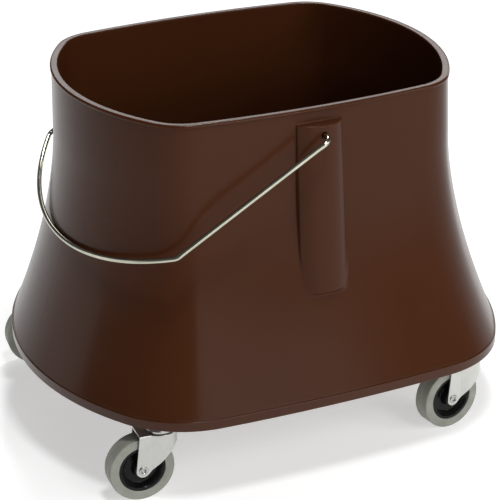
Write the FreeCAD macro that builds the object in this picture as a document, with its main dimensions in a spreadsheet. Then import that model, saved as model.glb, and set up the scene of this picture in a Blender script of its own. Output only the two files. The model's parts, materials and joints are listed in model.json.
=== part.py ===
"""Wash bucket on four swivel casters: a flared moulded shell welded to a base pan, with a wire bail.

Millimetres, +Z up, +X along the bucket's length. The origin is on the floor under the bucket's middle.
Every length comes from the spreadsheet "Sizes"; the objects are bound to it with expressions.
"""
import FreeCAD, Part
import math
import os
import re

import Sketcher

SIZES = {
    # brim of the shell: an oblong of four shallow arcs joined by four corner arcs
    "rim_height": 430.0,
    "rim_half_length": 227.5,
    "rim_half_width": 186.0,
    "rim_end_radius": 265.0,
    "rim_corner_radius": 61.0,
    "rim_side_radius": 1100.0,
    "lip_overhang": 1.6,
    "lip_depth": 4.0,
    "lip_round": 1.5,
    "wall": 7.5,
    # neck, which widens a little downwards, and the flare below it
    "neck_foot": 352.0,
    "neck_spread": 2.1,
    "flare_power": 1.68,
    # base pan
    "pan_underside": 95.5,
    "band_depth": 12.0,
    "band_ledge": 1.8,
    "band_round": 1.2,
    "pan_half_length": 291.0,
    "pan_half_width": 243.5,
    "pan_end_radius": 339.0,
    "pan_corner_radius": 121.5,
    "pan_side_radius": 2050.0,
    "floor_thickness": 6.0,
    "boss_radius": 14.5,
    "boss_rise": 33.0,
    "boss_round": 5.0,
    # pilasters that carry the bail
    "pilaster_half_width": 27.5,
    "pilaster_proud": 13.5,
    "pilaster_top_corner": 12.5,
    "pilaster_top_front": 52.0,
    "pilaster_foot_corner": 6.0,
    "pilaster_foot_front": 130.0,
    "pilaster_top": 414.0,
    "pilaster_foot": 219.0,
    "pilaster_lean": 12.9,
    "pilaster_round": 1.2,
    "pivot_height": 403.0,
    "pivot_hole_radius": 3.9,
    "pivot_hole_depth": 15.0,
    # bail wire
    "wire_radius": 2.9,
    "bail_reach": 284.5,
    "bail_arc_radius": 323.5,
    "bail_leg_spread": 214.5,
    "bail_leg_angle": 1.9,
    "bail_end": 186.5,
    "bail_bend": 10.0,
    "bail_corner_bend": 9.0,
    "bail_rest": 31.0,
    # casters
    "swivel_x": 195.5,
    "swivel_y": 182.5,
    "trail": 25.6,
    "wheel_radius": 38.1,
    "tread_width": 21.2,
    "tread_inner": 27.3,
    "tread_shoulder": 1.4,
    "core_width": 20.4,
    "core_lip": 3.2,
    "dish_depth": 7.4,
    "dish_foot": 19.4,
    "dish_round": 2.2,
    "core_lip_round": 0.7,
    "hub_radius": 9.5,
    "hub_length": 23.2,
    "fork_half_width": 14.0,
    "fork_gauge": 2.0,
    "fork_crown": 82.0,
    "fork_nose": 19.0,
    "fork_cheek_angle": 25.0,
    "fork_tail_angle": 7.0,
    "fork_cut_angle": 45.0,
    "fork_eye": 8.0,
    "fork_skirt": 67.0,
    "fork_bend": 1.8,
    "fork_blank": 57.0,
    "race_pitch": 12.4,
    "race_rise": 1.3,
    "race_outer": 16.2,
    "race_depth": 1.65,
    "ball_radius": 2.38,
    "ball_gap": 0.06,
    "ball_count": 12,
    "cap_outer": 17.6,
    "cap_shoulder": 14.6,
    "cap_top": 91.0,
    "cap_gap": 0.5,
    "cap_side_gap": 0.3,
    "cap_skirt": 2.0,
    "kingpin_radius": 5.0,
    "kingpin_head": 8.2,
    "kingpin_head_rise": 2.6,
    "kingpin_head_face": 4.9,
    "running_gap": 0.05,
    "collar_radius": 9.0,
    "stem_radius": 5.55,
    "stem_length": 25.0,
    "stem_tip": 1.5,
    "ring_height": 16.0,
    "ring_width": 3.0,
    "ring_depth": 1.0,
    "sleeve_wall": 1.2,
    "sleeve_length": 28.0,
    "sleeve_flange": 10.5,
    "sleeve_flange_thickness": 1.0,
    "axle_radius": 3.95,
    "axle_head_radius": 5.4,
    "axle_head": 1.4,
    "axle_dimple": 2.9,
    "axle_dimple_foot": 1.45,
    "axle_dimple_depth": 2.4,
    "bush_wall": 1.6,
}

# each caster: side along X, side along Y, and how far its fork has swivelled at rest, in degrees
CASTERS = {
    "front_left": (-1, -1, -2.8),
    "front_right": (1, -1, 8.1),
    "rear_left": (-1, 1, -6.2),
    "rear_right": (1, 1, 3.0),
}
FLARE_SECTIONS = 6
OUTLINE = ("half_length", "half_width", "end_radius", "corner_radius", "side_radius")

doc = FreeCAD.newDocument("wash_bucket")
sheet = doc.addObject("Spreadsheet::Sheet", "Sizes")
for row, (alias, size) in enumerate(SIZES.items(), start=1):
    sheet.set(f"A{row}", alias)
    sheet.set(f"B{row}", str(size))
    sheet.setAlias(f"B{row}", alias)
doc.recompute()

parts = []


# ---------------------------------------------------------------- helpers
def bound(text):
    """An expression in bare size names, with each name pointed at the spreadsheet."""
    return re.sub(r"[a-z_]+", lambda m: f"Sizes.{m.group()}" if m.group() in SIZES else m.group(), str(text))


def number(text):
    """What such an expression comes to now, in millimetres or degrees."""
    return float(sheet.evalExpression(bound(text)))


def new_body(name):
    body = doc.addObject("PartDesign::Body", name)
    body.Label = name
    parts.append(body)
    return body


def new_sketch(body, name, role, offset="0"):
    """A sketch on one of the body's origin planes, moved along the plane's normal by offset."""
    sketch = body.newObject("Sketcher::SketchObject", name)
    plane = next(item for item in body.Origin.OriginFeatures if item.Role == role)
    sketch.AttachmentSupport = [(plane, "")]
    sketch.MapMode = "FlatFace"
    sketch.setExpression("AttachmentOffset.Base.z", bound(offset))
    return sketch


def tie(sketch, constraint, text):
    """Adds a dimension and binds it to an expression."""
    index = sketch.addConstraint(constraint)
    sketch.setExpression(f"Constraints[{index}]", bound(text))


def arc_between(start, end, radius):
    """The short arc from start to end: anticlockwise for a positive radius, clockwise for a negative one."""
    if radius < 0:
        start, end = end, start
    middle = (start + end) * 0.5
    chord = end - start
    rise = math.sqrt(radius * radius - chord.Length ** 2 / 4)
    left = FreeCAD.Vector(-chord.y, chord.x, 0).normalize()
    centre = middle + left * rise
    angles = [math.atan2(p.y - centre.y, p.x - centre.x) for p in (start, end)]
    return Part.ArcOfCircle(Part.Circle(centre, FreeCAD.Vector(0, 0, 1), abs(radius)), *angles)


def draw_chain(sketch, points, arcs=None):
    """A closed chain through points given as pairs of expressions.

    arcs maps the index of a run to its radius: positive bulges to the right of the run, negative to the left.
    """
    arcs = arcs or {}
    corners = [FreeCAD.Vector(number(x), number(y), 0) for x, y in points]
    ends = []
    for i, start in enumerate(corners):
        end = corners[(i + 1) % len(corners)]
        if i in arcs:
            radius = number(arcs[i])
            run = sketch.addGeometry(arc_between(start, end, radius))
            tie(sketch, Sketcher.Constraint("Radius", run, abs(radius)), f"abs({arcs[i]})")
            ends.append((run, 1, 2) if radius > 0 else (run, 2, 1))
        else:
            run = sketch.addGeometry(Part.LineSegment(start, end))
            ends.append((run, 1, 2))
    for i, (run, first, _) in enumerate(ends):
        before, _, last = ends[i - 1]
        sketch.addConstraint(Sketcher.Constraint("Coincident", before, last, run, first))
        tie(sketch, Sketcher.Constraint("DistanceX", -1, 1, run, first, corners[i].x), points[i][0])
        tie(sketch, Sketcher.Constraint("DistanceY", -1, 1, run, first, corners[i].y), points[i][1])
    return sketch


def draw_circle(sketch, x, y, radius):
    centre = FreeCAD.Vector(number(x), number(y), 0)
    ring = sketch.addGeometry(Part.Circle(centre, FreeCAD.Vector(0, 0, 1), number(radius)))
    tie(sketch, Sketcher.Constraint("Radius", ring, number(radius)), radius)
    tie(sketch, Sketcher.Constraint("DistanceX", -1, 1, ring, 3, centre.x), x)
    tie(sketch, Sketcher.Constraint("DistanceY", -1, 1, ring, 3, centre.y), y)


def draw_oblong(sketch, shape):
    """The bucket's outline: end and side arcs centred on the axes, joined by tangent corner arcs."""
    half_length, half_width, end, corner, side = (number(text) for text in shape)
    end_centre = half_length - end
    side_centre = half_width - side
    # the corner centre is where circles of radius (side - corner) and (end - corner) cross
    reach = math.hypot(end_centre, side_centre)
    near, far = side - corner, end - corner
    along = (near ** 2 - far ** 2 + reach ** 2) / (2 * reach)
    across = math.sqrt(near ** 2 - along ** 2)
    unit = FreeCAD.Vector(end_centre, -side_centre, 0) / reach
    right = FreeCAD.Vector(unit.y, -unit.x, 0)
    corner_at = FreeCAD.Vector(0, side_centre, 0) + unit * along + right * across
    side_turn = math.atan2(corner_at.y - side_centre, corner_at.x)
    end_turn = math.atan2(corner_at.y, corner_at.x - end_centre)

    def arc(x, y, radius, first, last):
        circle = Part.Circle(FreeCAD.Vector(x, y, 0), FreeCAD.Vector(0, 0, 1), radius)
        return sketch.addGeometry(Part.ArcOfCircle(circle, first, last))

    x, y = corner_at.x, corner_at.y
    half, full = math.pi, 2 * math.pi
    runs = [
        arc(end_centre, 0, end, -end_turn, end_turn),
        arc(x, y, corner, end_turn, side_turn),
        arc(0, side_centre, side, side_turn, half - side_turn),
        arc(-x, y, corner, half - side_turn, half - end_turn),
        arc(-end_centre, 0, end, half - end_turn, half + end_turn),
        arc(-x, -y, corner, half + end_turn, half + side_turn),
        arc(0, -side_centre, side, half + side_turn, full - side_turn),
        arc(x, -y, corner, full - side_turn, full - end_turn),
    ]
    for i, run in enumerate(runs):
        sketch.addConstraint(Sketcher.Constraint("Tangent", runs[i - 1], 2, run, 1))
    for run in (runs[0], runs[4]):
        sketch.addConstraint(Sketcher.Constraint("PointOnObject", run, 3, -1))
    for run in (runs[2], runs[6]):
        sketch.addConstraint(Sketcher.Constraint("PointOnObject", run, 3, -2))
    for i, run in enumerate(runs):
        text = shape[3] if i % 2 else (shape[2], shape[4])[i // 2 % 2]
        tie(sketch, Sketcher.Constraint("Radius", run, number(text)), text)
    for run, sign in ((runs[0], 1), (runs[4], -1)):
        text = f"{sign} * (({shape[0]}) - ({shape[2]}))"
        tie(sketch, Sketcher.Constraint("DistanceX", -1, 1, run, 3, number(text)), text)
    for run, sign in ((runs[2], 1), (runs[6], -1)):
        text = f"{sign} * (({shape[1]}) - ({shape[4]}))"
        tie(sketch, Sketcher.Constraint("DistanceY", -1, 1, run, 3, number(text)), text)
    return sketch


def feature(body, kind, name, profile, **sizes):
    """A PartDesign feature on a profile, with its sizes bound to expressions."""
    item = body.newObject(f"PartDesign::{kind}", name)
    item.Profile = profile
    for prop, text in sizes.items():
        item.setExpression(prop, bound(text))
    return item


def loft(body, kind, name, sketches, ruled=False):
    item = feature(body, kind, name, sketches[0])
    item.Sections = sketches[1:]
    item.Ruled = ruled
    return item


def revolve(body, name, sketch, kind="Revolution"):
    item = feature(body, kind, name, sketch)
    item.ReferenceAxis = (sketch, ["V_Axis"])
    item.Angle = 360
    return item


def cut(body, name, sketch, reverse=False, **sizes):
    """A pocket, which must take something away."""
    doc.recompute()
    before = body.Shape.Volume
    item = feature(body, "Pocket", name, sketch, **sizes)
    item.Reversed = reverse
    doc.recompute()
    if not body.Shape.Volume < before - 1e-3:
        raise RuntimeError(f"{body.Label}: {name} cuts nothing")
    return item


def fillet(body, name, radius, test):
    """Rounds the edges of the body so far that pass the test."""
    doc.recompute()
    base = body.Tip
    edges = [f"Edge{i}" for i, edge in enumerate(base.Shape.Edges, start=1) if test(edge)]
    if not edges:
        raise RuntimeError(f"{body.Label}: {name} found no edges")
    item = body.newObject("PartDesign::Fillet", name)
    item.Base = (base, edges)
    item.setExpression("Radius", bound(radius))
    return item


def level(edge, height):
    """Whether an edge lies flat at a height."""
    box = edge.BoundBox
    return abs(box.ZMin - height) < 1e-3 and abs(box.ZMax - height) < 1e-3


def is_arc(edge, radius):
    return edge.Curve.TypeId == "Part::GeomCircle" and abs(edge.Curve.Radius - radius) < 1e-3


def on_outline(edge, shape):
    """Whether an edge is one of the arcs of an oblong outline."""
    return any(is_arc(edge, number(text)) for text in shape[2:])


def flare_oblong(drop, inset="0"):
    """The shell's outline down the flare: drop is 0 at the neck's foot and 1 at the pan."""
    shape = []
    for name in OUTLINE:
        neck = f"rim_{name} - lip_overhang + neck_spread"
        foot = f"pan_{name} - band_ledge"
        shape.append(f"({neck}) + ({foot} - ({neck})) * {drop} ^ flare_power - ({inset})")
    return shape


def rim_oblong(inset="0"):
    return [f"rim_{name} - ({inset})" for name in OUTLINE]


def pan_oblong(inset="0"):
    return [f"pan_{name} - ({inset})" for name in OUTLINE]


# ---------------------------------------------------------------- bucket
def flare_and_neck(body, kind, inset, neck_end):
    """The solid inside an outline set in from the outer surface, from the flare's foot up to neck_end."""
    name = "Outer" if kind == "AdditiveLoft" else "Inner"
    foot = "(pan_underside + band_depth)"
    sections = []
    for i in range(FLARE_SECTIONS):
        drop = 1 - i / (FLARE_SECTIONS - 1)
        height = f"neck_foot - (neck_foot - {foot}) * {drop:g}"
        sketch = new_sketch(body, f"{name}Flare{i}", "XY_Plane", height)
        sections.append(draw_oblong(sketch, flare_oblong(f"{drop:g}", inset)))
    loft(body, kind, f"{name}Flare", sections)
    low = draw_oblong(new_sketch(body, f"{name}NeckFoot", "XY_Plane", "neck_foot"), flare_oblong("0", inset))
    high = new_sketch(body, f"{name}NeckTop", "XY_Plane", neck_end)
    draw_oblong(high, rim_oblong(f"lip_overhang + {inset}"))
    loft(body, kind, f"{name}Neck", [low, high], ruled=True)


def pilaster(body, side):
    """A leaning column proud of the long wall on one side (-1 front, 1 back)."""
    sections = []
    for end, lean in (("top", "0"), ("foot", "pilaster_lean")):
        height, round_off, bow = f"pilaster_{end}", f"pilaster_{end}_corner", f"pilaster_{end}_front"
        width = f"(pilaster_half_width - {round_off})"
        inner = f"({bow} - {round_off})"
        front = f"(rim_half_width - lip_overhang + pilaster_proud + {lean})"
        centre = f"({front} - {bow})"
        corner = f"({centre} + sqrt({inner} ^ 2 - {width} ^ 2))"
        blend_x = f"{width} * {bow} / {inner}"
        blend_y = f"({centre} + ({corner} - {centre}) * {bow} / {inner})"
        half = [("pilaster_half_width", f"{side} * (rim_half_width - rim_corner_radius)"),
                ("pilaster_half_width", f"{side} * {corner}"),
                (blend_x, f"{side} * {blend_y}")]
        points = half + [(f"-({x})", y) for x, y in reversed(half)]
        corner_turn = f"{side} * {round_off}"
        arcs = {1: corner_turn, 2: f"{side} * {bow}", 3: corner_turn}
        sketch = new_sketch(body, f"Pilaster_{end}_{side + 1}", "XY_Plane", height)
        sections.append(draw_chain(sketch, points, arcs))
    loft(body, "AdditiveLoft", f"Pilaster{side + 1}", sections, ruled=True)


def make_body_shell():
    """The open-ended shell: neck, flare, lip and the two pilasters with their blind pivot holes."""
    body = new_body("body_shell")
    flare_and_neck(body, "AdditiveLoft", "0", "rim_height - lip_depth")
    lip = draw_oblong(new_sketch(body, "Lip", "XY_Plane", "rim_height - lip_depth"), rim_oblong())
    feature(body, "Pad", "LipPad", lip, Length="lip_depth")
    for side in (-1, 1):
        pilaster(body, side)
    head = number("pilaster_top")
    wall_line = number("rim_half_width - lip_overhang + neck_spread")
    fillet(body, "PilasterRound", "pilaster_round",
           lambda e: level(e, head) and abs(e.CenterOfMass.y) > wall_line)
    flare_and_neck(body, "SubtractiveLoft", "wall", "rim_height")
    front = "(rim_half_width - lip_overhang + pilaster_proud + wall)"
    for side in (-1, 1):
        sketch = new_sketch(body, f"Pivot{side + 1}", "XZ_Plane", f"{-side} * {front}")
        draw_circle(sketch, "0", "pivot_height", "pivot_hole_radius")
        cut(body, f"PivotHole{side + 1}", sketch, reverse=side > 0, Length="pivot_hole_depth + wall")
    rim, under_lip = number("rim_height"), number("rim_height - lip_depth")
    fillet(body, "LipRound", "lip_round",
           lambda e: level(e, rim) or (level(e, under_lip) and on_outline(e, rim_oblong())))
    return body


def make_base_pan():
    """The floor of the bucket: a tray whose band shows under the shell, with four caster bosses."""
    body = new_body("base_pan")
    outline = draw_oblong(new_sketch(body, "Outline", "XY_Plane", "pan_underside"), pan_oblong())
    feature(body, "Pad", "Tray", outline, Length="band_depth")
    hollow = draw_oblong(new_sketch(body, "Hollow", "XY_Plane", "pan_underside + band_depth"),
                         pan_oblong("band_ledge + wall"))
    cut(body, "TrayHollow", hollow, Length="band_depth - floor_thickness")
    bosses = new_sketch(body, "Bosses", "XY_Plane", "pan_underside + floor_thickness")
    bores = new_sketch(body, "Bores", "XY_Plane", "pan_underside")
    for along, across, _ in CASTERS.values():
        place = f"{along} * swivel_x", f"{across} * swivel_y"
        draw_circle(bosses, *place, "boss_radius")
        draw_circle(bores, *place, "stem_radius + running_gap + sleeve_wall")
    feature(body, "Pad", "CasterBosses", bosses, Length="boss_rise - floor_thickness")
    cut(body, "CasterBores", bores, reverse=True, Length="sleeve_length")
    underside, ledge = number("pan_underside"), number("pan_underside + band_depth")
    floor, crown = number("pan_underside + floor_thickness"), number("pan_underside + boss_rise")
    boss = number("boss_radius")
    fillet(body, "BossRound", "boss_round",
           lambda e: is_arc(e, boss) and (level(e, floor) or level(e, crown)))
    fillet(body, "BandRound", "band_round",
           lambda e: (level(e, underside) or level(e, ledge)) and on_outline(e, pan_oblong()))
    return body


def make_bail():
    """One bent wire: blind-hole ends, two legs and a shallow arc, drawn flat and then laid on the flare."""
    body = new_body("bail")
    end, bend, corner = number("bail_end"), number("bail_bend"), number("bail_corner_bend")
    arc, reach = number("bail_arc_radius"), number("bail_reach")
    slope = math.radians(number("bail_leg_angle"))
    root = FreeCAD.Vector(0, -number("bail_leg_spread"), 0)
    along = FreeCAD.Vector(-math.cos(slope), math.sin(slope), 0)
    inward = FreeCAD.Vector(math.sin(slope), math.cos(slope), 0)
    middle = FreeCAD.Vector(arc - reach, 0, 0)
    setback = bend * math.tan((math.pi / 2 - slope) / 2)
    offset = root + inward * corner - middle
    run = -offset.dot(along) + math.sqrt(offset.dot(along) ** 2 - offset.dot(offset) + (arc - corner) ** 2)
    corner_at = root + inward * corner + along * run
    meet = middle + (corner_at - middle) * (arc / (arc - corner))
    path = new_sketch(body, "Path", "XY_Plane")
    chains = []
    for side in (1, -1):
        def flip(point):
            return FreeCAD.Vector(point.x, point.y * side, 0)
        hook_end = root + FreeCAD.Vector(0, setback, 0)
        leg_start = root + along * setback
        leg_end = root + along * run
        hook = path.addGeometry(Part.LineSegment(flip(FreeCAD.Vector(0, -end, 0)), flip(hook_end)))
        turn = path.addGeometry(arc_between(flip(hook_end), flip(leg_start), -side * bend))
        leg = path.addGeometry(Part.LineSegment(flip(leg_start), flip(leg_end)))
        elbow = path.addGeometry(arc_between(flip(leg_end), flip(meet), -side * corner))
        mark = path.addGeometry(Part.Point(flip(root)), True)
        first, last = (2, 1) if side > 0 else (1, 2)
        for text, constraint in (
            (f"{-side} * bail_end", Sketcher.Constraint("DistanceY", -1, 1, hook, 1, -side * end)),
            (f"{-side} * bail_leg_spread", Sketcher.Constraint("DistanceY", -1, 1, mark, 1, side * root.y)),
            ("bail_bend", Sketcher.Constraint("Radius", turn, bend)),
            ("bail_corner_bend", Sketcher.Constraint("Radius", elbow, corner)),
        ):
            tie(path, constraint, text)
        for constraint in (
            Sketcher.Constraint("PointOnObject", hook, 1, -2),
            Sketcher.Constraint("PointOnObject", hook, 2, -2),
            Sketcher.Constraint("PointOnObject", mark, 1, -2),
            Sketcher.Constraint("PointOnObject", mark, 1, leg),
            Sketcher.Constraint("Tangent", hook, 2, turn, first),
            Sketcher.Constraint("Tangent", turn, last, leg, 1),
            Sketcher.Constraint("Tangent", leg, 2, elbow, first),
        ):
            path.addConstraint(constraint)
        chains.append((leg, elbow, last))
    sweep = path.addGeometry(arc_between(FreeCAD.Vector(meet.x, -meet.y, 0), meet, arc))
    for (leg, elbow, last), end_of_sweep in zip(chains, (2, 1)):
        path.addConstraint(Sketcher.Constraint("Tangent", elbow, last, sweep, end_of_sweep))
    path.addConstraint(Sketcher.Constraint("PointOnObject", sweep, 3, -1))
    tie(path, Sketcher.Constraint("DistanceX", -1, 1, sweep, 3, middle.x), "bail_arc_radius - bail_reach")
    tie(path, Sketcher.Constraint("Radius", sweep, arc), "bail_arc_radius")
    section = new_sketch(body, "Section", "XZ_Plane", "bail_end")
    draw_circle(section, "0", "0", "wire_radius")
    wire = feature(body, "AdditivePipe", "Wire", section)
    wire.Spine = (path, [])
    turn_down = FreeCAD.Rotation(FreeCAD.Vector(0, 1, 0), -number("bail_rest"))
    body.Placement = FreeCAD.Placement(FreeCAD.Vector(0, 0, number("pivot_height")), turn_down)
    return body


# ---------------------------------------------------------------- casters
def profile_body(name, role, points, arcs=None):
    """A body turned about its plane's upright axis from points of (radius, height)."""
    body = new_body(name)
    revolve(body, "Turned", draw_chain(new_sketch(body, "Profile", role), points, arcs))
    return body


def make_sleeve(name):
    """The steel sleeve pressed into a boss of the pan."""
    bore = "stem_radius + running_gap"
    outside = f"{bore} + sleeve_wall"
    top = "pan_underside + sleeve_length"
    flange = "pan_underside - sleeve_flange_thickness"
    return profile_body(name, "XZ_Plane", [
        (bore, flange), ("sleeve_flange", flange), ("sleeve_flange", "pan_underside"),
        (outside, "pan_underside"), (outside, top), (bore, top)])


def make_stem(name):
    """Kingpin, collar and grip-ring stem in one turned piece, riveted over under the fork."""
    seat = "pan_underside - sleeve_flange_thickness"
    head_top = "fork_crown - fork_gauge - running_gap"
    groove = f"{seat} + ring_height"
    tip = f"{seat} + stem_length"
    return profile_body(name, "XZ_Plane", [
        ("0", f"{head_top} - kingpin_head_rise"),
        ("kingpin_head_face", f"{head_top} - kingpin_head_rise"),
        ("kingpin_head", f"{head_top} - kingpin_head_rise / 2"),
        ("kingpin_head", head_top), ("kingpin_radius", head_top),
        ("kingpin_radius", "cap_top"), ("collar_radius", "cap_top"),
        ("collar_radius", seat), ("stem_radius", seat),
        ("stem_radius", groove), ("stem_radius - ring_depth", groove),
        ("stem_radius - ring_depth", f"{groove} + ring_width"), ("stem_radius", f"{groove} + ring_width"),
        ("stem_radius", f"{tip} - stem_tip"), ("stem_radius - stem_tip", tip), ("0", tip)])


def make_grip_ring(name):
    """The split spring ring in the stem's groove."""
    groove = "pan_underside - sleeve_flange_thickness + ring_height + running_gap"
    top = f"{groove} + ring_width - 2 * running_gap"
    inner, outer = "stem_radius - ring_depth", "stem_radius + running_gap"
    body = profile_body(name, "XZ_Plane", [(inner, groove), (outer, groove), (outer, top), (inner, top)])
    gap = new_sketch(body, "Split", "XY_Plane", groove)
    draw_chain(gap, [("0", "-ring_depth"), ("stem_radius * 2", "-ring_depth"),
                     ("stem_radius * 2", "ring_depth"), ("0", "ring_depth")])
    cut(body, "SplitCut", gap, reverse=True, Length="ring_width")
    return body


BALL_HEIGHT = "(fork_crown + race_rise + race_depth)"
GROOVE = "(ball_radius + ball_gap)"


def groove_run(edge_height):
    """Where a ball groove's circle crosses a height: the distance from the pitch circle."""
    return f"sqrt({GROOVE} ^ 2 - ({edge_height} - {BALL_HEIGHT}) ^ 2)"


def make_race_cap(name):
    """The pressed cap over the balls, fixed to the kingpin."""
    under = f"({BALL_HEIGHT} + race_depth)"
    run = groove_run(under)
    skirt = "fork_crown + cap_gap"
    inner = "race_outer + cap_side_gap"
    return profile_body(name, "XZ_Plane", [
        ("kingpin_radius", under), (f"race_pitch - {run}", under), (f"race_pitch + {run}", under),
        (inner, under), (inner, skirt), ("cap_outer", skirt), ("cap_outer", f"{skirt} + cap_skirt"),
        ("cap_shoulder", "cap_top"), ("kingpin_radius", "cap_top")], {1: f"-{GROOVE}"})


def make_balls(name):
    """The ring of steel balls between the fork and the cap."""
    balls = []
    count = round(number("ball_count"))
    for i in range(count):
        ball = doc.addObject("Part::Sphere", f"{name}_{i}")
        ball.setExpression("Radius", bound("ball_radius"))
        around = FreeCAD.Rotation(FreeCAD.Vector(0, 0, 1), 360 * i / count)
        out = FreeCAD.Vector(number("race_pitch"), 0, number(BALL_HEIGHT))
        ball.Placement = FreeCAD.Placement(around.multVec(out), FreeCAD.Rotation())
        balls.append(ball)
    ring = doc.addObject("Part::Compound", name)
    ring.Label = name
    ring.Links = balls
    parts.append(ring)
    return ring


def fork_plan(inset):
    """The fork seen from above: two cheeks that spread into a round nose, open at the tail."""
    nose = f"(fork_nose - {inset})"
    half = f"(fork_half_width - {inset})"
    lean = "fork_cheek_angle"
    cheek = (f"-{nose} * sin({lean})", f"{nose} * cos({lean})")
    waist = (f"{cheek[0]} - ({cheek[1]} - {half}) / tan({lean})", half)
    tail = ("-fork_blank", half)
    upper = [cheek, waist, tail]
    lower = [(x, f"-({y})") for x, y in reversed(upper)]
    points = lower + [(nose, "0")] + upper
    return points, {2: nose, 3: nose}


def make_fork(name):
    """The pressed steel fork: a crown with a raised ball race, two legs and a skirt round the nose."""
    body = new_body(name)
    eye_x, eye_z = "-trail", "wheel_radius"
    low = (f"{eye_x} + fork_eye * sin(fork_cut_angle)", f"{eye_z} - fork_eye * cos(fork_cut_angle)")
    knee = (f"{low[0]} + (fork_skirt - ({low[1]})) * tan(fork_cut_angle)", "fork_skirt")
    back = (f"{eye_x} - fork_eye * cos(fork_tail_angle)", f"{eye_z} + fork_eye * sin(fork_tail_angle)")
    tail = (f"{back[0]} + (fork_crown - ({back[1]})) * tan(fork_tail_angle)", "fork_crown")
    front = "fork_blank"
    side = new_sketch(body, "SideView", "XZ_Plane", "-fork_blank")
    draw_chain(side, [back, low, knee, (front, "fork_skirt"), (front, "fork_crown"), tail], {0: "fork_eye"})
    feature(body, "Pad", "Blank", side, Length="2 * fork_blank")

    trim = new_sketch(body, "PlanTrim", "XY_Plane", "fork_crown")
    points, arcs = fork_plan("0")
    draw_chain(trim, points, arcs)
    waste = "fork_blank + 1"
    draw_chain(trim, [(f"-({waste})", f"-({waste})"), (waste, f"-({waste})"), (waste, waste),
                      (f"-({waste})", waste)])
    cut(body, "Trim", trim, Length="fork_crown")

    hollow = new_sketch(body, "Hollow", "XY_Plane", "fork_crown - fork_gauge")
    points, arcs = fork_plan("fork_gauge")
    cut(body, "HollowCut", draw_chain(hollow, points, arcs), Length="fork_crown")

    crown, tail_x = number("fork_crown"), number(tail[0])
    fillet(body, "CrownBend", "fork_bend", lambda e: level(e, crown) and e.BoundBox.XMax > tail_x + 1)

    race_top = "fork_crown + race_rise"
    run = groove_run(race_top)
    race = draw_chain(new_sketch(body, "Race", "XZ_Plane"), [
        ("kingpin_radius", "fork_crown - fork_gauge / 2"), ("race_outer", "fork_crown - fork_gauge / 2"),
        ("race_outer", race_top), (f"race_pitch + {run}", race_top),
        (f"race_pitch - {run}", race_top), ("kingpin_radius", race_top)], {3: f"-{GROOVE}"})
    revolve(body, "RaceRing", race)
    pin = new_sketch(body, "PinHole", "XY_Plane", f"{race_top} + 1")
    draw_circle(pin, "0", "0", "kingpin_radius + running_gap")
    cut(body, "PinHoleCut", pin, Length="fork_gauge + race_rise + 2")
    axle = new_sketch(body, "AxleHole", "XZ_Plane", "-fork_blank")
    draw_circle(axle, eye_x, eye_z, "axle_radius")
    cut(body, "AxleHoleCut", axle, reverse=True, Length="2 * fork_blank")
    return body


def make_axle(name):
    """A tubular rivet through both legs, rolled over at each end round a dimple."""
    face = "fork_half_width"
    half = [("axle_radius", face), ("axle_head_radius", face), ("axle_head_radius", f"{face} + axle_head / 2"),
            ("axle_head_radius - axle_head / 2", f"{face} + axle_head"), ("axle_dimple", f"{face} + axle_head"),
            ("axle_dimple_foot", f"{face} + axle_head - axle_dimple_depth"),
            ("0", f"{face} + axle_head - axle_dimple_depth")]
    points = [(x, f"-({y})") for x, y in reversed(half)] + half
    return profile_body(name, "XY_Plane", points)


def make_bushing(name):
    """The spanner bushing clamped between the legs, on which the wheel turns."""
    half = "(fork_half_width - fork_gauge)"
    outer = "axle_radius + bush_wall"
    return profile_body(name, "XY_Plane", [
        ("axle_radius", f"-{half}"), (outer, f"-{half}"), (outer, half), ("axle_radius", half)])


def make_core(name):
    """The moulded wheel centre: a hub, a web dished on both faces and a rim under the tread."""
    bore = "axle_radius + bush_wall + running_gap"
    web = "(core_width / 2 - dish_depth)"
    half = [(bore, "hub_length / 2"), ("hub_radius", "hub_length / 2"), ("hub_radius + dish_round", web),
            ("dish_foot", web), ("tread_inner - core_lip", "core_width / 2"), ("tread_inner", "core_width / 2")]
    points = half + [(x, f"-({y})") for x, y in reversed(half)]
    body = profile_body(name, "XY_Plane", points)
    foot = number("dish_foot")
    lip = number("tread_inner - core_lip")
    fillet(body, "DishRound", "dish_round", lambda e: is_arc(e, foot))
    fillet(body, "LipRound", "core_lip_round", lambda e: is_arc(e, lip))
    return body


def make_tread(name):
    """The grey tread with rounded shoulders."""
    half = "tread_width / 2"
    edge = "wheel_radius - tread_shoulder"
    flat = f"{half} - tread_shoulder"
    upper = [("wheel_radius", flat), (edge, half), ("tread_inner", half)]
    lower = [(x, f"-({y})") for x, y in reversed(upper)]
    return profile_body(name, "XY_Plane", lower + upper, {1: "tread_shoulder", 3: "tread_shoulder"})


def make_caster(corner, along, across, yaw):
    """One caster at rest, its fork swivelled by yaw and its wheel trailing towards -X."""
    swivel = FreeCAD.Vector(along * number("swivel_x"), across * number("swivel_y"), 0)
    turn = FreeCAD.Rotation(FreeCAD.Vector(0, 0, 1), yaw)
    axle = swivel + turn.multVec(FreeCAD.Vector(-number("trail"), 0, 0))
    axle.z = number("wheel_radius")
    fixed = {"socket_sleeve": make_sleeve, "stem": make_stem, "grip_ring": make_grip_ring,
             "race_cap": make_race_cap}
    turning = {"swivel_balls": make_balls, "fork": make_fork}
    on_axle = {"axle_rivet": make_axle, "axle_bushing": make_bushing, "wheel_core": make_core,
               "wheel_tread": make_tread}
    for makers, place in ((fixed, FreeCAD.Placement(swivel, FreeCAD.Rotation())),
                          (turning, FreeCAD.Placement(swivel, turn)),
                          (on_axle, FreeCAD.Placement(axle, turn))):
        for piece, make in makers.items():
            make(f"{corner}_{piece}").Placement = place


# ---------------------------------------------------------------- build, check and write
make_body_shell()
make_base_pan()
make_bail()
for corner, (along, across, yaw) in CASTERS.items():
    make_caster(corner, along, across, yaw)
doc.recompute()

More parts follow.
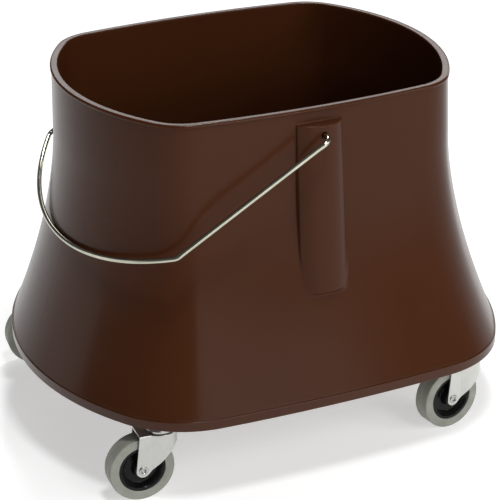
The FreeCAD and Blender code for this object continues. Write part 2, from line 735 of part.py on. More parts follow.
for item in doc.Objects:
    if "Invalid" in item.State or "Error" in item.State:
        raise RuntimeError(f"{item.Name} ({item.Label}) failed: {item.State}")
for part in parts:
    if part.Shape.isNull() or not part.Shape.isValid():
        raise RuntimeError(f"{part.Label} has no valid shape")

os.makedirs("parts", exist_ok=True)
for part in parts:
    part.Shape.exportStep(f"parts/{part.Label}.step")
    print(f"{part.Label}: {len(part.Shape.Solids)} solid(s), {part.Shape.Volume / 1000:.2f} cm3")
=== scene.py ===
"""Looks for the wash bucket: the moulded shell, wire bail, wheels and axle rivets are rebuilt smooth.

The pan, forks, caps and small steel pieces keep their CAD meshes and get finishes. Sizes are in
millimetres, in the same frame as the CAD, down to the section on floor, light and camera. Meshes are
written in metres.
"""
import json
import math

import bmesh
import bpy
from mathutils import Matrix, Quaternion, Vector


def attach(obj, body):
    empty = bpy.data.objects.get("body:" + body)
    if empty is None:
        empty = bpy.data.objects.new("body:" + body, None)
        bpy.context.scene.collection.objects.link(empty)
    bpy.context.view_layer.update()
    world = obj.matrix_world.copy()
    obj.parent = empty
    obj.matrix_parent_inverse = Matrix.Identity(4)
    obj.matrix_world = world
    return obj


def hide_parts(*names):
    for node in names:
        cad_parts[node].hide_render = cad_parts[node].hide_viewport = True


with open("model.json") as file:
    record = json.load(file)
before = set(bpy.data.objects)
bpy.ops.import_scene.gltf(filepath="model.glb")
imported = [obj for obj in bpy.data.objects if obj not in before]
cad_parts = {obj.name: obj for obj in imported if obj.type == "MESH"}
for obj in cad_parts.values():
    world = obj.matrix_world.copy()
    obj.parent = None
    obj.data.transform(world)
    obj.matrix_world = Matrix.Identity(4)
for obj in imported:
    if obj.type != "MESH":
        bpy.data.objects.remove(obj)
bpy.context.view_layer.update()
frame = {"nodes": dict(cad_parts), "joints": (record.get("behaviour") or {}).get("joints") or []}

MM = 0.001
JOINTS = {joint["name"]: joint for joint in frame["joints"]}
CORNERS = ("front_left", "front_right", "rear_left", "rear_right")
# edges that turn by more than this many degrees stay crisp
SHARP_ANGLE = 40.0

# outlines: half length, half width, end radius, corner radius, side radius
RIM = (227.5, 186.0, 265.0, 61.0, 1100.0)
PAN = (291.0, 243.5, 339.0, 121.5, 2050.0)
RIM_TOP = 430.0
# the lip stands proud of the neck; its lower and inner edges share one rounding, its outer top has more
LIP_FOOT = 426.0
LIP_OVERHANG = 1.6
LIP_ROUND = 1.5
LIP_EDGE = 2.4
WALL = 7.5
# the neck widens by its spread down to its foot; below it the shell flares out to the pan's ledge
NECK_FOOT = 352.0
NECK_SPREAD = 2.1
FLARE_POWER = 1.68
SHELL_FOOT = 107.5
LEDGE = 1.8

# pilasters: heights of top and foot, how far the front stands out at the top, and how much further
# out it is at the foot
PILASTER_TOP = 414.0
PILASTER_FOOT = 219.0
PILASTER_PROUD = 14.2
PILASTER_LEAN = 14.9
# half width at the top, what each side gains by the foot, and how steeply the sides fall to the wall
PILASTER_HALF = 27.5
PILASTER_SPREAD = 2.2
PILASTER_FLANK = 6.0
# radii of the two long corners and of the bowed front
PILASTER_TOP_RADII = (5.0, 38.0)
PILASTER_FOOT_RADII = (8.0, 42.0)
# softness of the seam with the wall
PILASTER_BLEND = 1.6
# how the rise fades out at the foot and the top: height from there, share of the full rise
FOOT_FADE = (
    (-4.4, 0.0), (-3.2, 0.03), (-2.0, 0.12), (-0.8, 0.32),
    (0.4, 0.60), (1.6, 0.83), (2.8, 0.95), (4.4, 1.0),
)
TOP_ROUND = ((-1.8, 1.0), (-1.05, 0.982), (-0.5, 0.945), (-0.15, 0.885), (0.0, 0.80))
TOP_FACE = ((0.02, 0.6), (0.04, 0.35), (0.08, 0.14), (0.25, 0.05), (0.7, 0.012), (1.6, 0.0))
# blind pivot holes: height, radius, and how far from the middle plane their floors are
PIVOT_HEIGHT = 403.0
PIVOT_HOLE = 3.9
PIVOT_FLOOR = 182.9


# ---------------------------------------------------------------- outlines and lofts
def inset(shape, distance):
    """An outline moved inward all round."""
    return tuple(size - distance for size in shape)


def lerp(a, b, t):
    """The tuple a share t of the way from a to b."""
    return tuple(x + (y - x) * t for x, y in zip(a, b))


def ramp(first, last, count):
    """count values from first to last, both included."""
    return [first + (last - first) * i / (count - 1) for i in range(count)]


def flare_shape(height, neck_top):
    """The shell's outer outline at a height; neck_top is where the neck reaches its narrowest."""
    neck_low = inset(RIM, LIP_OVERHANG - NECK_SPREAD)
    if height >= NECK_FOOT:
        return lerp(neck_low, inset(RIM, LIP_OVERHANG), (height - NECK_FOOT) / (neck_top - NECK_FOOT))
    drop = (NECK_FOOT - height) / (NECK_FOOT - SHELL_FOOT)
    return lerp(neck_low, inset(PAN, LEDGE), drop ** FLARE_POWER)


# columns round a quarter of the outline: fixed places across the pilaster, close together over its
# rounded corner, then shares of each arc
EDGE_BAND = 8.5
NEAR_COLUMNS = (
    ramp(0.0, PILASTER_HALF - EDGE_BAND - 1.0, 13)
    + [PILASTER_HALF - EDGE_BAND * (1 - math.cos(math.radians(a))) for a in ramp(86, 3, 26)]
    + ramp(PILASTER_HALF + 0.05, PILASTER_HALF + 2.5, 8)
    + ramp(PILASTER_HALF + 3.5, PILASTER_HALF + 12.5, 5)
)
SIDE_COLUMNS = 22
CORNER_COLUMNS = 24
END_COLUMNS = 26


def quarter(shape):
    """Points of an outline from the middle of the far side to the middle of the +X end."""
    half_length, half_width, end, corner, side = shape
    end_centre, side_centre = half_length - end, half_width - side
    reach = math.hypot(end_centre, side_centre)
    near, far = side - corner, end - corner
    along = (near ** 2 - far ** 2 + reach ** 2) / (2 * reach)
    across = math.sqrt(near ** 2 - along ** 2)
    unit = Vector((end_centre, -side_centre)) / reach
    centre = Vector((0, side_centre)) + unit * along + Vector((unit.y, -unit.x)) * across
    side_turn = math.atan2(centre.y - side_centre, centre.x)
    end_turn = math.atan2(centre.y, centre.x - end_centre)
    side_end = side * math.cos(side_turn)
    columns = NEAR_COLUMNS + ramp(NEAR_COLUMNS[-1], side_end, SIDE_COLUMNS + 1)[1:]
    points = [(x, side_centre + math.sqrt(side ** 2 - x ** 2)) for x in columns]
    for turn in ramp(side_turn, end_turn, CORNER_COLUMNS + 1)[1:]:
        points.append((centre.x + corner * math.cos(turn), centre.y + corner * math.sin(turn)))
    for turn in ramp(end_turn, 0.0, END_COLUMNS + 1)[1:]:
        points.append((end_centre + end * math.cos(turn), end * math.sin(turn)))
    return points


def loop(shape, height, shift=None):
    """A full outline as 3-D points; shift(x, y, height) moves points of the long sides outward."""
    points = quarter(shape)
    if shift:
        points = [(x, y + shift(x, y, height)) for x, y in points]
    last = len(points) - 1
    ring = list(points)
    ring += [(points[i][0], -points[i][1]) for i in range(last - 1, -1, -1)]
    ring += [(-points[i][0], -points[i][1]) for i in range(1, last + 1)]
    ring += [(-points[i][0], points[i][1]) for i in range(last - 1, 0, -1)]
    return [Vector((x, y, height)) for x, y in ring]


def bridge(rings, wrap=False):
    """Quads between rings of the same length; wrap also joins the last ring to the first."""
    count = len(rings[0])
    points = [point for ring in rings for point in ring]
    faces = []
    runs = len(rings) if wrap else len(rings) - 1
    for i in range(runs):
        a, b = i * count, (i + 1) % len(rings) * count
        for k in range(count):
            m = (k + 1) % count
            faces.append((a + k, a + m, b + m, b + k))
    return points, faces


def make_piece(name, points, faces):
    """A smooth-shaded mesh object from points in millimetres, with its normals pointing outward."""
    mesh = bpy.data.meshes.new(name)
    mesh.from_pydata([Vector(point) * MM for point in points], [], faces)
    work = bmesh.new()
    work.from_mesh(mesh)
    bmesh.ops.recalc_face_normals(work, faces=work.faces)
    work.to_mesh(mesh)
    work.free()
    mesh.shade_smooth()
    mesh.set_sharp_from_angle(angle=math.radians(SHARP_ANGLE))
    piece = bpy.data.objects.new(name, mesh)
    bpy.context.scene.collection.objects.link(piece)
    return piece


def round_corners(points, radii, steps=6):
    """An open chain of 2-D points with the corners named in radii (index: radius) rounded off."""
    made = []
    for i, point in enumerate(points):
        if i not in radii:
            made.append(tuple(point))
            continue
        here = Vector(point)
        before = (Vector(points[i - 1]) - here).normalized()
        after = (Vector(points[i + 1]) - here).normalized()
        half = before.angle(after) / 2
        away = radii[i] / math.tan(half)
        centre = here + (before + after).normalized() * (radii[i] / math.sin(half))
        start, end = here + before * away - centre, here + after * away - centre
        turn = start.angle_signed(end)
        for k in range(steps + 1):
            spun = start.copy()
            spun.rotate(Matrix.Rotation(-turn * k / steps, 2))
            made.append(tuple(centre + spun))
    return made


# ---------------------------------------------------------------- moulded shell
def pilaster_rise(x, wall_y, height):
    """How far the pilaster's face stands beyond the wall, softened where the two meet."""
    down = min(max((PILASTER_TOP - height) / (PILASTER_TOP - PILASTER_FOOT), 0.0), 1.0)
    corner, bow = lerp(PILASTER_TOP_RADII, PILASTER_FOOT_RADII, down)
    centre = RIM[1] - LIP_OVERHANG + PILASTER_PROUD + PILASTER_LEAN * down - bow
    edge = PILASTER_HALF + PILASTER_SPREAD * down
    half = edge - corner
    corner_y = centre + math.sqrt((bow - corner) ** 2 - half ** 2)
    if x <= half * bow / (bow - corner):
        face = centre + math.sqrt(bow ** 2 - x ** 2)
    elif x < edge:
        face = corner_y + math.sqrt(corner ** 2 - (x - half) ** 2)
    else:
        face = corner_y - PILASTER_FLANK * (x - edge)
    gap = face - wall_y
    return 0.5 * (gap + math.hypot(gap, PILASTER_BLEND))


def shell_rows():
    """Heights of the outer wall from the foot up, each with the pilaster's share of its full rise."""
    rows = [(height, 0.0) for height in ramp(SHELL_FOOT, PILASTER_FOOT - 6.0, 22)]
    rows += [(PILASTER_FOOT + rise, share) for rise, share in FOOT_FADE]
    rows += [(height, 1.0) for height in ramp(PILASTER_FOOT + 7.0, PIVOT_HEIGHT - 9.0, 35)]
    rows += [(height, 1.0) for height in ramp(PIVOT_HEIGHT - 7.0, PILASTER_TOP - 2.6, 12)]
    rows += [(PILASTER_TOP + rise, share) for rise, share in TOP_ROUND + TOP_FACE]
    rows += [(height, 0.0) for height in ramp(PILASTER_TOP + 3.0, LIP_FOOT, 5)]
    return rows


def drill(piece, name, mouth, radius, depth, axis, sides=48):
    """Sets up a round blind hole from its mouth inward and returns the cutter, for settle to apply."""
    turn = Vector((0, 0, 1)).rotation_difference(Vector(axis))
    turns = [2 * math.pi * k / sides for k in range(sides)]
    points = [turn @ Vector((radius * math.cos(a), radius * math.sin(a), h)) + Vector(mouth)
              for h in (0.0, depth) for a in turns]
    faces = [(k, (k + 1) % sides, sides + (k + 1) % sides, sides + k) for k in range(sides)]
    faces += [tuple(range(sides)), tuple(range(sides, 2 * sides))]
    cutter = make_piece(name, points, faces)
    step = piece.modifiers.new(name, "BOOLEAN")
    step.operation = "DIFFERENCE"
    step.solver = "EXACT"
    step.object = cutter
    return cutter


def settle(piece, helpers):
    """Applies a piece's modifiers and removes the helper objects they used."""
    graph = bpy.context.evaluated_depsgraph_get()
    mesh = bpy.data.meshes.new_from_object(piece.evaluated_get(graph))
    piece.modifiers.clear()
    piece.data = mesh
    for helper in helpers:
        bpy.data.objects.remove(helper)


# rows of the inner wall, and how far under the lip's inner rounding they start
INNER_ROWS = 60
INNER_DROP = 4.0


def make_shell():
    """The whole shell: outer wall from the foot up, lip, inner wall down, then the two pivot holes."""
    def shift_for(share):
        return lambda x, y, height: share * pilaster_rise(x, y, height) if x < NEAR_COLUMNS[-1] else 0.0

    rings = []
    for height, share in shell_rows():
        shape = flare_shape(height, LIP_FOOT)
        rings.append(loop(shape, height, shift_for(share) if share else None))
    quarter_turn = [math.radians(a) for a in ramp(0, 90, 6)]
    for turn in quarter_turn:
        rings.append(loop(inset(RIM, LIP_ROUND * (1 - math.sin(turn))),
                          LIP_FOOT + LIP_ROUND * (1 - math.cos(turn))))
    for turn in quarter_turn:
        rings.append(loop(inset(RIM, LIP_EDGE * (1 - math.cos(turn))),
                          RIM_TOP - LIP_EDGE * (1 - math.sin(turn))))
    inner = LIP_OVERHANG + WALL
    for turn in quarter_turn:
        rings.append(loop(inset(RIM, inner - LIP_ROUND * (1 - math.sin(turn))),
                          RIM_TOP - LIP_ROUND * (1 - math.cos(turn))))
    for height in ramp(RIM_TOP - LIP_ROUND - INNER_DROP, SHELL_FOOT, INNER_ROWS):
        rings.append(loop(inset(flare_shape(height, RIM_TOP), WALL), height))
    points, faces = bridge(rings, wrap=True)
    shell = make_piece("shell_moulding", points, faces)
    cutters = []
    start = RIM[1] + PILASTER_PROUD + WALL
    for side in (-1, 1):
        cutters.append(drill(shell, f"pivot_cutter_{side + 1}", (0, side * start, PIVOT_HEIGHT),
                             PIVOT_HOLE, start - PIVOT_FLOOR, (0, -side, 0)))
    settle(shell, cutters)
    shell.data.shade_smooth()
    shell.data.set_sharp_from_angle(angle=math.radians(SHARP_ANGLE))
    return shell


# ---------------------------------------------------------------- bail
# the wire's centre line: reach from the pivots to the middle of the arc, the arc's radius, the legs'
# distance from the middle plane at the pivots, and where the hooked ends stop
BAIL_REACH = 284.5
BAIL_ARC = 323.5
BAIL_SPREAD = 214.5
BAIL_END = 186.5
# radii of the bend at a pivot and of the elbow between leg and arc
BAIL_BEND = 10.0
BAIL_ELBOW = 9.0
# the angle at which the legs close in, and the turn from level down to the rest
BAIL_SLOPE = math.radians(1.9)
BAIL_REST = math.radians(-31.0)
# the wire's radius, and the sides of its section
WIRE = 2.9
WIRE_SIDES = 28
# the cut ends: share of the radius left flat, and the broken edge's length in radii
WIRE_END_FACE = 0.72
WIRE_END_BREAK = 0.3


def bail_half():
    """The wire's centre line in its own plane, from the +Y hook to the middle of the arc."""
    root = Vector((0, BAIL_SPREAD))
    along = Vector((-math.cos(BAIL_SLOPE), -math.sin(BAIL_SLOPE)))
    inward = Vector((math.sin(BAIL_SLOPE), -math.cos(BAIL_SLOPE)))
    setback = BAIL_BEND * math.tan((math.pi / 2 - BAIL_SLOPE) / 2)
    middle = Vector((BAIL_ARC - BAIL_REACH, 0))
    offset = root + inward * BAIL_ELBOW - middle
    slack = offset.dot(along) ** 2 - offset.dot(offset) + (BAIL_ARC - BAIL_ELBOW) ** 2
    run = -offset.dot(along) + math.sqrt(slack)
    elbow = root + inward * BAIL_ELBOW + along * run
    points = [Vector((0, y)) for y in ramp(BAIL_END, BAIL_SPREAD - setback, 8)]
    bend = Vector((-BAIL_BEND, BAIL_SPREAD - setback))
    sweep = ramp(0, math.pi / 2 + BAIL_SLOPE, 13)[1:]
    points += [bend + Vector((math.cos(a), math.sin(a))) * BAIL_BEND for a in sweep]
    start = root + along * setback
    finish = root + along * run
    points += [start.lerp(finish, t) for t in ramp(0, 1, 24)[1:]]
    turn_in = math.atan2(*reversed(elbow - middle))
    sweep = ramp(math.pi / 2 + BAIL_SLOPE, turn_in, 7)[1:]
    points += [elbow + Vector((math.cos(a), math.sin(a))) * BAIL_ELBOW for a in sweep]
    sweep = ramp(turn_in, math.pi, 60)[1:]
    points += [middle + Vector((math.cos(a), math.sin(a))) * BAIL_ARC for a in sweep]
    return points


def make_bail():
    """The wire swept along its whole line at rest, with the edges of its two cut ends broken."""
    half = bail_half()
    line = half + [Vector((point.x, -point.y)) for point in reversed(half[:-1])]
    tilt = Matrix.Rotation(BAIL_REST, 3, "Y")
    lift = Vector((0, 0, PIVOT_HEIGHT))
    up = tilt @ Vector((0, 0, 1))
    path = [tilt @ Vector((point.x, point.y, 0)) + lift for point in line]
    turns = [2 * math.pi * k / WIRE_SIDES for k in range(WIRE_SIDES)]
    rings = []
    for i, point in enumerate(path):
        ahead, behind = path[min(i + 1, len(path) - 1)], path[max(i - 1, 0)]
        across = up.cross((ahead - behind).normalized()).normalized()
        rings.append([point + (across * math.cos(a) + up * math.sin(a)) * WIRE for a in turns])
    ends = []
    for ring, centre, toward in ((rings[0], path[0], path[1]), (rings[-1], path[-1], path[-2])):
        inward = (toward - centre).normalized()
        ends.append([centre + (point - centre) * WIRE_END_FACE for point in ring])
        for k, point in enumerate(ring):
            ring[k] = point + inward * WIRE * WIRE_END_BREAK
    points, faces = bridge([ends[0]] + rings + [ends[1]])
    count = len(points)
    faces += [tuple(range(WIRE_SIDES)), tuple(range(count - WIRE_SIDES, count))]
    return make_piece("bail_wire", points, faces)


# ---------------------------------------------------------------- casters
# radius at which the tread sits on the wheel core
TREAD_SEAT = 27.3


def lathe(name, profile, centre, axis, sides=96, closed=True):
    """Turns a profile of (radius, place along the axis) round an axis; closed joins its ends."""
    axis = Vector(axis).normalized()
    up = Vector((0, 0, 1))
    side = up.cross(axis)
    rings = []
    turns = [2 * math.pi * k / sides for k in range(sides)]
    spokes = [side * math.cos(a) + up * math.sin(a) for a in turns]
    for radius, along in profile:
        rings.append([Vector(centre) + axis * along + spoke * radius for spoke in spokes])
    points, faces = bridge(rings, wrap=closed)
    if not closed:
        count = len(points)
        faces += [tuple(range(sides)), tuple(range(count - sides, count))]
    return make_piece(name, points, faces)


def mirrored(half):
    """A closed profile from its +axis half, which runs outward or inward."""
    return half + [(radius, -along) for radius, along in reversed(half)]


def tread_profile():
    """The tread's section: flat sides, rounded shoulders and a fine parting groove round the middle."""
    outer, half_width, shoulder, chamfer = 38.1, 10.6, 1.4, 0.5
    groove_half, groove_foot, groove_depth, face_row = 0.25, 0.06, 0.12, 3.0
    edge = outer - shoulder
    face = [(TREAD_SEAT, half_width - chamfer), (TREAD_SEAT + chamfer, half_width), (edge, half_width)]
    turns = [math.radians(a) for a in ramp(80, 0, 8)]
    face += [(edge + shoulder * math.cos(a), half_width - shoulder * (1 - math.sin(a))) for a in turns]
    face += [(outer, face_row), (outer, groove_half), (outer - groove_depth, groove_foot)]
    return mirrored(face)


def core_profile():
    """The wheel centre's section: hub, web dished on both faces, and the rim under the tread."""
    bore, hub, hub_face, chamfer = 5.6, 9.5, 11.6, 0.5
    hub_foot, web_face, dish_foot = 11.0, 2.8, 19.4
    dish_edge, rim_face, rim_row = 24.1, 10.2, 5.0
    half = [(bore, hub_face - chamfer), (bore + chamfer, hub_face), (hub, hub_face), (hub_foot, web_face),
            (dish_foot, web_face), (dish_edge, rim_face), (TREAD_SEAT, rim_face), (TREAD_SEAT, rim_row)]
    return mirrored(round_corners(half, {2: 0.7, 3: 1.4, 4: 2.2, 5: 0.8, 6: 0.35}))


def rivet_profile():
    """Half of the axle rivet's section: its shank, then a head rolled over round a dimple."""
    shank, head, leg_face = 3.95, 5.4, 14.0
    head_edge, crown, crown_outer, crown_inner = 14.7, 15.4, 4.75, 3.1
    dimple, dimple_edge, dimple_floor, pole = 1.7, 13.1, 13.0, 0.02
    half = [(shank, leg_face), (head, leg_face), (head, head_edge), (crown_outer, crown),
            (crown_inner, crown), (dimple, dimple_edge), (pole, dimple_floor)]
    return round_corners(half, {2: 0.35, 3: 0.7, 4: 0.7, 5: 0.6})


def dress_caster(corner):
    """The tread, core and rivet of one caster, riding on its bodies in place of the CAD pieces."""
    joint = JOINTS[f"{corner}_roll"]
    centre = Vector(joint["pos_m"]) / MM
    axis = joint["axis"]
    tread = lathe(f"{corner}_tread_moulding", tread_profile(), centre, axis, sides=128)
    core = lathe(f"{corner}_core_moulding", core_profile(), centre, axis)
    for piece, node in ((tread, "wheel_tread"), (core, "wheel_core")):
        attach(piece, f"{corner}_wheel")
        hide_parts(f"{corner}_{node}")
    half = rivet_profile()
    profile = [(radius, -along) for radius, along in reversed(half)] + half
    rivet = lathe(f"{corner}_rivet_turned", profile, centre, axis, sides=64, closed=False)
    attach(rivet, f"{corner}_caster")
    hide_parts(f"{corner}_axle_rivet")
    return tread, core, rivet


# ---------------------------------------------------------------- finishes
class Finish:
    """A small builder for one node material on object coordinates."""

    def __init__(self, name, **sockets):
        self.material = bpy.data.materials.new(name)
        self.material.use_nodes = True
        self.nodes = self.material.node_tree.nodes
        self.links = self.material.node_tree.links
        self.shader = self.nodes["Principled BSDF"]
        self.place = self.nodes.new("ShaderNodeTexCoord").outputs["Object"]
        for socket, value in sockets.items():
            self.shader.inputs[socket.replace("_", " ")].default_value = value
        self.normal = None

    def noise(self, scale, detail=3.0, rough=0.55, stretch=None):
        """A noise factor; a larger stretch along an axis squeezes the noise along it."""
        place = self.place
        if stretch:
            mapping = self.nodes.new("ShaderNodeMapping")
            mapping.inputs["Scale"].default_value = stretch
            self.links.new(place, mapping.inputs["Vector"])
            place = mapping.outputs["Vector"]
        node = self.nodes.new("ShaderNodeTexNoise")
        node.inputs["Scale"].default_value = scale
        node.inputs["Detail"].default_value = detail
        node.inputs["Roughness"].default_value = rough
        self.links.new(place, node.inputs["Vector"])
        return node.outputs["Fac"]

    def spread(self, fac, low, high, to_low, to_high):
        """Maps a factor from low..high to to_low..to_high, clamped."""
        node = self.nodes.new("ShaderNodeMapRange")
        limits = {"From Min": low, "From Max": high, "To Min": to_low, "To Max": to_high}
        for socket, value in limits.items():
            node.inputs[socket].default_value = value
        self.links.new(fac, node.inputs["Value"])
        return node.outputs["Result"]

    def combine(self, operation, a, b):
        """Joins two factors by an operation such as ADD."""
        node = self.nodes.new("ShaderNodeMath")
        node.operation = operation
        self.links.new(a, node.inputs[0])
        self.links.new(b, node.inputs[1])
        return node.outputs["Value"]

    def mix(self, fac, a, b):
        """Mixes two colours, each a value or an earlier mix."""
        node = self.nodes.new("ShaderNodeMix")
        node.data_type = "RGBA"
        self.links.new(fac, node.inputs["Factor"])
        for socket, value in (("A", a), ("B", b)):
            target = next(s for s in node.inputs if s.name == socket and s.type == "RGBA")
            if isinstance(value, tuple):
                target.default_value = (*value, 1.0)
            else:
                self.links.new(value, target)
        return next(s for s in node.outputs if s.type == "RGBA")

    def pointiness(self, low, high):
        """A factor that rises on convex edges."""
        geometry = self.nodes.new("ShaderNodeNewGeometry")
        return self.spread(geometry.outputs["Pointiness"], low, high, 0.0, 1.0)

    def bump(self, height, strength, distance):
        """Adds a bump on top of any earlier one."""
        node = self.nodes.new("ShaderNodeBump")
        node.inputs["Strength"].default_value = strength
        node.inputs["Distance"].default_value = distance
        self.links.new(height, node.inputs["Height"])
        if self.normal:
            self.links.new(self.normal, node.inputs["Normal"])
        self.normal = node.outputs["Normal"]
        self.links.new(self.normal, self.shader.inputs["Normal"])

    def colour(self, value):
        self.links.new(value, self.shader.inputs["Base Color"])

    def roughness(self, value):
        self.links.new(value, self.shader.inputs["Roughness"])


def brown_plastic(name, gloss):
    """Brown moulded polyethylene: faint clouds, fine flecks, convex edges painted paler (part wear, part
    painted highlight), rubs along the wall.
    """
    deep, light = (0.048, 0.0142, 0.0048), (0.054, 0.0163, 0.0057)
    # the pale edge colour is part wear and part a painted highlight
    fleck_colour, wear_and_highlight_colour = (0.074, 0.029, 0.014), (0.105, 0.055, 0.036)
    finish = Finish(name, IOR=1.5, Specular_IOR_Level=gloss)
    cloud = finish.spread(finish.noise(5.0, 1.0), 0.3, 0.7, 0.0, 1.0)
    base = finish.mix(cloud, deep, light)
    fleck = finish.spread(finish.noise(900.0, 1.0), 0.60, 0.74, 0.0, 0.35)
    base = finish.mix(fleck, base, fleck_colour)
    # convex edges are painted paler in patches: part wear, part a painted highlight along the rounded
    # edges
    edges = finish.pointiness(0.56, 0.64)
    patches = finish.spread(finish.noise(60.0), 0.4, 0.7, 0.2, 0.5)
    wear_and_highlight = finish.combine("MULTIPLY", edges, patches)
    finish.colour(finish.mix(wear_and_highlight, base, wear_and_highlight_colour))
    satin = finish.spread(finish.noise(14.0, 5.0), 0.3, 0.7, 0.19, 0.24)
    rubs = finish.spread(finish.noise(26.0, 6.0, 0.7, (1.0, 1.0, 9.0)), 0.55, 0.78, 0.0, 0.06)
    finish.roughness(finish.combine("ADD", satin, rubs))
    finish.bump(finish.noise(2.6, 1.0), 0.10, 0.004)
    finish.bump(finish.noise(1500.0, 2.0), 0.10, 0.0001)
    return finish.material


def metal(name, dark, light, rough, scale, grain=0.08):
    """A metal clouded between two colours, with uneven gloss and a fine grain."""
    finish = Finish(name, Metallic=1.0)
    cloud = finish.spread(finish.noise(scale, 4.0, 0.6), 0.35, 0.68, 0.0, 1.0)
    finish.colour(finish.mix(cloud, dark, light))
    haze = finish.noise(scale * 2.7, 5.0, 0.65)
    finish.roughness(finish.spread(haze, 0.3, 0.7, rough - 0.04, rough + 0.06))
    finish.bump(finish.noise(scale * 22, 2.0, 0.5), grain, 0.0001)
    return finish.material


def rubber_tread():
    """Grey tread rubber with dark scuffs."""
    deep, light, scuff_colour = (0.24, 0.245, 0.21), (0.295, 0.30, 0.26), (0.14, 0.135, 0.12)
    finish = Finish("grey_tread_rubber", IOR=1.5, Specular_IOR_Level=0.3)
    cloud = finish.spread(finish.noise(70.0, 4.0), 0.35, 0.7, 0.0, 1.0)
    base = finish.mix(cloud, deep, light)
    scuff = finish.spread(finish.noise(340.0, 6.0, 0.75), 0.58, 0.72, 0.0, 0.45)
    finish.colour(finish.mix(scuff, base, scuff_colour))
    finish.roughness(finish.spread(finish.noise(120.0, 4.0), 0.3, 0.7, 0.5, 0.68))
    finish.bump(finish.noise(1400.0, 3.0), 0.18, 0.0001)
    return finish.material


def black_core():
    """Black moulded plastic of the wheel cores."""
    deep, light = (0.0045, 0.0045, 0.0045), (0.008, 0.0082, 0.0078)
    finish = Finish("black_polypropylene", IOR=1.49, Specular_IOR_Level=0.16)
    cloud = finish.spread(finish.noise(90.0, 3.0), 0.35, 0.7, 0.0, 1.0)
    finish.colour(finish.mix(cloud, deep, light))
    finish.roughness(finish.spread(finish.noise(160.0, 4.0), 0.3, 0.7, 0.13, 0.20))
    finish.bump(finish.noise(1800.0, 2.0), 0.12, 0.0001)
    return finish.material


def paint(target, finish):
    """Gives an object one material."""
    target.data.materials.clear()
    target.data.materials.append(finish)


# ---------------------------------------------------------------- assembly
brown = brown_plastic("brown_polyethylene", 0.12)
pan_brown = brown_plastic("brown_pan_polyethylene", 0.22)
zinc = metal("bright_zinc_sheet", (0.52, 0.52, 0.495), (0.55, 0.55, 0.525), 0.31, 90.0, grain=0.01)
plate = metal("zinc_plated_steel", (0.42, 0.42, 0.41), (0.50, 0.50, 0.485), 0.24, 60.0, grain=0.02)
polished = metal("polished_ball_steel", (0.62, 0.62, 0.63), (0.72, 0.72, 0.73), 0.12, 300.0)
wire = metal("drawn_bail_wire", (0.42, 0.41, 0.33), (0.50, 0.49, 0.40), 0.15, 45.0, grain=0.005)
tread_rubber = rubber_tread()
core_plastic = black_core()

shell = make_shell()
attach(shell, "bucket")
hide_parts("body_shell")
paint(shell, brown)

bail = make_bail()
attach(bail, "bail")
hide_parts("bail")
paint(bail, wire)

for corner in CORNERS:
    tread, core, rivet = dress_caster(corner)
    paint(tread, tread_rubber)
    paint(core, core_plastic)
    paint(rivet, plate)

paint(frame["nodes"]["base_pan"], pan_brown)
for corner in CORNERS:
    for piece, finish in (("fork", zinc), ("race_cap", plate), ("stem", plate), ("socket_sleeve", plate),
                          ("grip_ring", plate), ("axle_bushing", plate), ("swivel_balls", polished)):
        paint(frame["nodes"][f"{corner}_{piece}"], finish)


# ---------------------------------------------------------------- floor, light and camera
# metres and degrees from here on, with the lens and sensor in millimetres
FLOOR_HALF = 12.0
FLOOR_GREYS = ((0.70, 0.70, 0.70), (0.72, 0.72, 0.72))
FLOOR_GLOW = 0.5
SURROUND = 0.09
# name, place, aim, width, height, power in watts
LIGHTS = (
    ("key", (2.1, -2.1, 1.55), (0, 0, 0.25), 1.0, 1.2, 19),
    ("front_box", (0.68, -2.24, 1.6), (0, 0, 0.3), 0.8, 0.8, 14),
    ("front_bank", (0.3, -2.7, 0.85), (0, 0, 0.2), 1.9, 1.1, 13),
    ("left_panel", (-2.2, 1.3, 0.5), (0, 0, 0.2), 1.1, 0.9, 3.5),
    ("top_lamp", (-0.1, -0.9, 2.7), (0, 0, 0.3), 0.45, 0.45, 30),
    ("back_lamp", (0.53, 1.19, 2.3), (0, 0, 0.4), 0.35, 0.35, 20),
    ("back_card", (1.3, 2.9, 1.75), (0, 0, 0.4), 2.4, 0.9, 22),
    ("right_card", (2.2, 1.6, 1.1), (0, 0, 0.3), 0.5, 0.9, 4),
)
# the camera stands back from its aim at an azimuth, an elevation and a roll
CAMERA_AIM = (-0.00115, 0.0, 0.18563)
CAMERA_DISTANCE = 2.31508
CAMERA_ANGLES = (-24.0121, 24.4589, -0.7722)
CAMERA_LENS = 137.546
CAMERA_SENSOR = 36.0


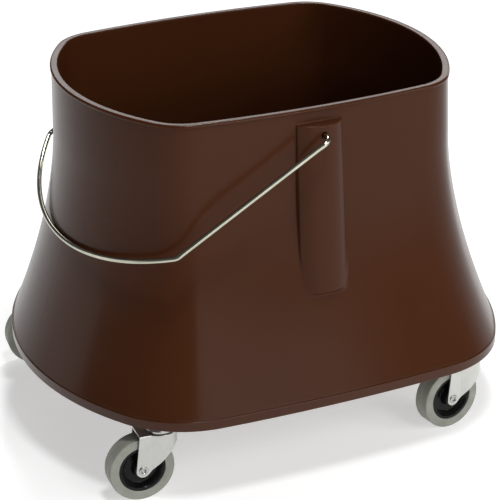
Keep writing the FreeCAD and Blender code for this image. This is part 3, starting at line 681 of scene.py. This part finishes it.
def make_floor():
    """A pale floor that glows a little, so that it reads as a white backdrop."""
    mesh = bpy.data.meshes.new("studio_floor")
    near, far = -FLOOR_HALF, FLOOR_HALF
    corners = [(near, near, 0), (far, near, 0), (far, far, 0), (near, far, 0)]
    mesh.from_pydata(corners, [], [(0, 1, 2, 3)])
    floor = bpy.data.objects.new("studio_floor", mesh)
    bpy.context.scene.collection.objects.link(floor)
    finish = Finish("pale_floor", Roughness=0.9, Specular_IOR_Level=0.1)
    finish.colour(finish.mix(finish.noise(2.0), *FLOOR_GREYS))
    finish.shader.inputs["Emission Color"].default_value = (1, 1, 1, 1)
    finish.shader.inputs["Emission Strength"].default_value = FLOOR_GLOW
    paint(floor, finish.material)


def make_light(name, place, aim, width, height, power):
    """A rectangular soft light, turned to its aim."""
    data = bpy.data.lights.new(name, "AREA")
    data.shape = "RECTANGLE"
    data.size, data.size_y = width, height
    data.energy = power
    light = bpy.data.objects.new(name, data)
    light.location = place
    light.rotation_mode = "QUATERNION"
    light.rotation_quaternion = (Vector(aim) - Vector(place)).to_track_quat("-Z", "Y")
    bpy.context.scene.collection.objects.link(light)


def make_world():
    """A dim, even surround."""
    world = bpy.data.worlds.new("studio")
    bpy.context.scene.world = world
    world.use_nodes = True
    background = world.node_tree.nodes["Background"]
    background.inputs["Color"].default_value = (1.0, 1.0, 1.0, 1.0)
    background.inputs["Strength"].default_value = SURROUND


def make_camera():
    """The camera that matches the picture."""
    azimuth, elevation, roll = (math.radians(a) for a in CAMERA_ANGLES)
    back = Vector((math.sin(azimuth) * math.cos(elevation), -math.cos(azimuth) * math.cos(elevation),
                   math.sin(elevation)))
    data = bpy.data.cameras.new("camera")
    data.sensor_width = CAMERA_SENSOR
    data.lens = CAMERA_LENS
    camera = bpy.data.objects.new("camera", data)
    camera.location = Vector(CAMERA_AIM) + back * CAMERA_DISTANCE
    camera.rotation_mode = "QUATERNION"
    camera.rotation_quaternion = (-back).to_track_quat("-Z", "Y") @ Quaternion((0, 0, 1), roll)
    bpy.context.scene.collection.objects.link(camera)
    bpy.context.scene.camera = camera


make_floor()
make_world()
for light in LIGHTS:
    make_light(*light)
make_camera()
bpy.context.scene.view_settings.view_transform = "Standard"
